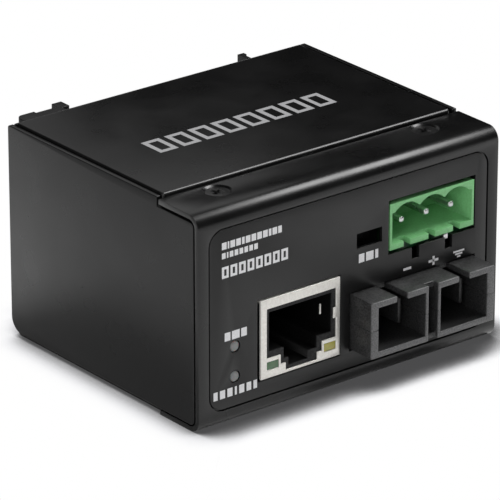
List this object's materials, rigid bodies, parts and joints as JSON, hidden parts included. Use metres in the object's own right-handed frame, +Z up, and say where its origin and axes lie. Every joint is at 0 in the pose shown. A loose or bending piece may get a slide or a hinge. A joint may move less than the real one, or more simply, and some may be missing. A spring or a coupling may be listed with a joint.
{
  "type": "fibre media converter",
  "caption": "Small box that turns a copper network link into a duplex fibre link, with a pluggable power header, selector switches and a sprung clip for a standard rail.",
  "frame": {"origin": "middle of the case's footprint (60 mm by 48.7 mm), on the plane of its underside", "axes": "-Y out of the front with the sockets, +Y towards the rail clip, +Z up, out of the lid"},
  "size_m": [0.06, 0.0606, 0.0365],
  "materials": {
    "case_paint": "fine-textured satin powder coat",
    "front_foil": "printed satin foil",
    "black_screw": "black oxide, semi-gloss",
    "board": "solder-masked glass laminate",
    "plated_steel": "nickel plated",
    "tinned_shield": "bright tin plate",
    "gold_contact": "gold flash",
    "black_plastic": "moulded, matt",
    "port_plastic": "moulded, slightly speckled",
    "green_plastic": "moulded, satin",
    "green_lens": "milky lens",
    "yellow_lens": "milky lens",
    "clear_lens": "diffuse lens",
    "chip_plastic": "moulded epoxy",
    "capacitor_can": "sleeved can",
    "clip_plastic": "glass-filled nylon, matt"
  },
  "bodies": {
    "case": {"front_cover": "case_paint", "front_overlay": "front_foil", "rear_wrap": "case_paint", "side_panel_left": "case_paint", "side_panel_right": "case_paint", "top_screws": "black_screw", "bottom_screws": "black_screw", "rear_screws": "black_screw", "lower_board": "board", "upper_board": "board", "base_posts": "plated_steel", "board_spacers": "plated_steel", "front_board_screw": "plated_steel", "upper_board_screws": "plated_steel", "jack_shield": "tinned_shield", "jack_housing": "black_plastic", "jack_contacts": "gold_contact", "jack_light_green": "green_lens", "jack_light_yellow": "yellow_lens", "fibre_nose_upper": "port_plastic", "fibre_nose_lower": "port_plastic", "transceiver": "black_plastic", "fibre_sleeves": "port_plastic", "fibre_latches": "port_plastic", "terminal_header": "green_plastic", "terminal_pins": "plated_steel", "selector_body": "black_plastic", "power_light": "clear_lens", "link_light": "clear_lens", "light_holder": "black_plastic", "media_chip": "chip_plastic", "line_transformer": "chip_plastic", "clock_crystal": "plated_steel", "power_module": "chip_plastic", "power_inductor": "chip_plastic", "surge_guard": "chip_plastic", "switch_regulator": "chip_plastic", "board_link": "black_plastic", "power_capacitors": "capacitor_can", "clip_plate": "clip_plastic", "clip_screws": "black_screw", "latch_spring": "plated_steel"},
    "latch": {"clip_latch": "clip_plastic"},
    "lever_1": {"selector_lever_1": "black_plastic"},
    "lever_2": {"selector_lever_2": "black_plastic"}
  },
  "joints": [
    {"name": "latch_slide", "type": "slide", "parent": "case", "child": "latch", "axis": [-1, 0, 0], "range_m": [0, 0.003], "stiffness_N_per_m": 2000, "springref_m": -0.001, "deforming": ["latch_spring"]},
    {"name": "lever_1_slide", "type": "slide", "parent": "case", "child": "lever_1", "axis": [0, 0, 1], "range_m": [0, 0.0011]},
    {"name": "lever_2_slide", "type": "slide", "parent": "case", "child": "lever_2", "axis": [0, 0, 1], "range_m": [0, 0.0011]}
  ]
}
